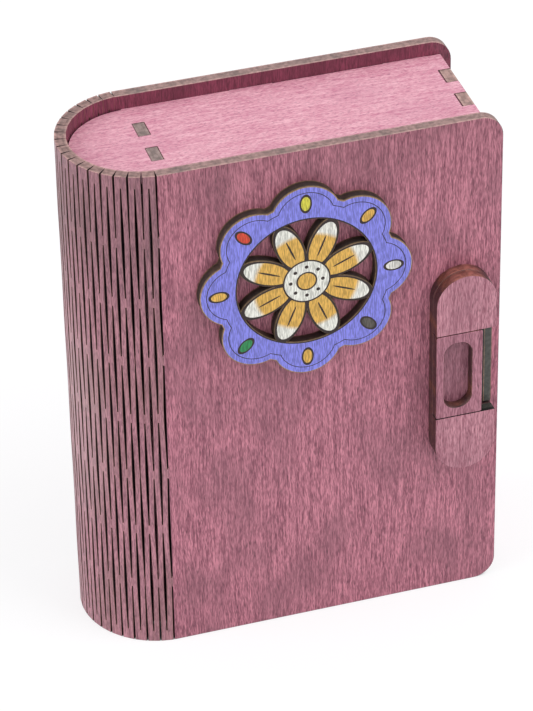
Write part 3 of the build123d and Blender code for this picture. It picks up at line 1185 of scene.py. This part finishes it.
    def accents(self, tree: NodeTree, angle: Node, seed: object) -> list[tuple]:
        """Lists the seeds that have a colour of their own.

        Args:
            tree: Node tree of the material.
            angle: Angle from the fore edge.
            seed: Distance from the nearest seed, 1 on its outline.

        Returns:
            Masks with their colours.
        """
        turns = add_node(tree, "Math", {0: angle, 1: self.lobes / (2 * math.pi)}, operation="MULTIPLY")
        number = add_node(tree, "Math", {0: turns}, operation="ROUND")
        inside = self.zone(tree, seed, 0.9)
        layers = []
        for lobe, colour in self.seeds:
            this = self.zone(tree, number, lobe + 0.25, lobe - 0.25)
            mask = add_node(tree, "Math", {0: inside, 1: this}, operation="MULTIPLY")
            layers.append((mask, colour))
        return layers

    def material(self) -> Material:
        """Builds the painted face and the charred sides."""
        lay = Lay.of_node("emblem", Axis.Z)
        material = new_material("Painted birch, rosette")
        tree = material.node_tree
        place = lay.place(tree)
        colour = paint_over(tree, self.violet, *self.layers(tree, place))
        _, fibres = COVER_STAIN.colour(tree, place, Grain())
        shade = add_node(tree, "MapRange", {"Value": fibres, "To Min": 0.68, "To Max": 1.18})
        grained = add_node(tree, "VectorMath", {0: colour, 1: shade}, operation="MULTIPLY")
        # the sides are charred and darkened as painted shade in the pierced holes
        shown = paint_over(tree, EMBLEM_CHAR_AND_SHADE.colour(tree, place), (lay.is_face(tree), grained))
        finish_wood(material, shown, fibres, roughness=0.6, relief=0.04)
        return material


@dataclass
class Emblem:
    """Pierced rosette glued to the front cover."""

    def build(self) -> None:
        """Dresses the rosette."""
        dress("emblem", PaintedRosette().material())


def is_looked_at(tree: NodeTree) -> Node:
    """Adds a mask that is 1 for what the camera and gloss see, and 0 for what only gives light."""
    rays = add_node(tree, "LightPath").outputs
    return add_node(tree, "Math", {0: rays["Is Camera Ray"], 1: rays["Is Glossy Ray"]}, operation="MAXIMUM")


@dataclass(frozen=True)
class Lamp:
    """Square soft lamp, with its place and side in metres and its power in watts."""

    name: str
    place: Triple
    size: float
    power: float

    def build(self, target: Triple) -> None:
        """Adds the lamp.

        Args:
            target: Point that it faces.
        """
        light = bpy.data.lights.new(self.name, "AREA")
        light.size = self.size
        light.energy = self.power
        lamp = add_object(self.name, light)
        lamp.location = self.place
        lamp.rotation_euler = (Vector(target) - lamp.location).to_track_quat("-Z", "Y").to_euler()


@dataclass
class Studio:
    """White table, soft lamps and the camera at the photograph's angle.

    Attributes:
        azimuth: Camera's direction of view, turned from +Y towards +X, in degrees.
        elevation: How far the camera looks down.
        lens: Focal length for a 36 mm high sensor.
        target: Point that the lamps face.
        half_table: Half the table's side, in metres.
        glow: Light that the open table adds for the camera.
        shade_reach: Distance from the table at which a piece takes that light from it.
    """

    azimuth: float = 16.488
    elevation: float = 35.066
    roll: float = -1.188
    place: Triple = (-0.23629, -0.78886, 0.65154)
    lens: float = 192.09
    target: Triple = (0.01, 0.0, 0.07)
    lamps: tuple[Lamp, ...] = (Lamp("Key lamp", (0.75, -0.55, 1.15), size=0.9, power=7.5),
                               Lamp("Fill lamp", (-1.35, -0.15, 0.75), size=1.2, power=8.0))
    half_table: float = 3.0
    glow: float = 0.71
    shade_reach: float = 8.0 * MM

    def build(self) -> None:
        """Builds the floor, the lamps, the world and the camera."""
        self.floor()
        for lamp in self.lamps:
            lamp.build(self.target)
        self.world()
        self.camera()
        bpy.context.scene.view_settings.view_transform = "Standard"

    def floor(self) -> None:
        """Builds a white table, which the camera sees bright enough to leave only a faint shadow."""
        half = self.half_table
        mesh = bpy.data.meshes.new("floor")
        mesh.from_pydata([(-half, -half, 0), (half, -half, 0), (half, half, 0), (-half, half, 0)], [],
                         [(0, 1, 2, 3)])
        floor = add_object("floor", mesh)
        floor.location.z = -0.05 * MM
        material = new_material("White table")
        tree = material.node_tree
        matt = add_node(tree, "BsdfDiffuse", {"Color": (0.8, 0.8, 0.8, 1.0)})
        dim = add_node(tree, "BsdfDiffuse", {"Color": (0.34, 0.34, 0.35, 1.0)})
        glow = add_node(tree, "Emission", {"Color": (1.0, 1.0, 1.0, 1.0), "Strength": self.in_the_open(tree)})
        bright = add_node(tree, "AddShader", {0: dim, 1: glow})
        shown = add_node(tree, "MixShader", {0: is_looked_at(tree), 1: matt, 2: bright})
        add_node(tree, "OutputMaterial", {"Surface": shown})
        mesh.materials.append(material)

    def in_the_open(self, tree: NodeTree) -> Node:
        """Adds the strength of the table's glow, which ambient occlusion takes down to none under and inside
        the box: painted shade.
        """
        free = add_node(tree, "AmbientOcclusion", {"Distance": self.shade_reach}).outputs["AO"]
        return add_node(tree, "MapRange", {"Value": free, "From Min": 0.1, "From Max": 0.5,
                                           "To Max": self.glow})

    def world(self) -> None:
        """Builds plain white surroundings, seen as white by the camera and in gloss."""
        world = bpy.data.worlds.new("Surroundings")
        bpy.context.scene.world = world
        world.use_nodes = True
        tree = world.node_tree
        tree.nodes.clear()
        strength = add_node(tree, "MapRange", {"Value": is_looked_at(tree), "To Min": 0.62, "To Max": 1.0})
        back = add_node(tree, "Background", {"Color": (1.0, 1.0, 1.0, 1.0), "Strength": strength})
        add_node(tree, "OutputWorld", {"Surface": back})

    def camera(self) -> None:
        """Builds the camera, whose long side is the picture's height."""
        azimuth, elevation, roll = (math.radians(a) for a in (self.azimuth, self.elevation, self.roll))
        turn = Matrix.Rotation(-azimuth, 4, "Z") @ Matrix.Rotation(math.pi / 2 - elevation, 4, "X")
        data = bpy.data.cameras.new("Camera")
        data.sensor_fit = "VERTICAL"
        data.sensor_height = 36.0
        data.lens = self.lens
        camera = add_object("Camera", data)
        camera.matrix_world = Matrix.Translation(self.place) @ turn @ Matrix.Rotation(roll, 4, "Z")
        bpy.context.scene.camera = camera


def main() -> None:
    """Builds the box's looks round the frame."""
    logging.basicConfig(level=logging.INFO, format="%(name)s: %(message)s")
    for assembly in (Covers(), Lattice(), InnerFrame(), Latch(), Emblem(), Studio()):
        assembly.build()
        log.info("%s done", type(assembly).__name__)


if __name__ == "__main__":
    main()
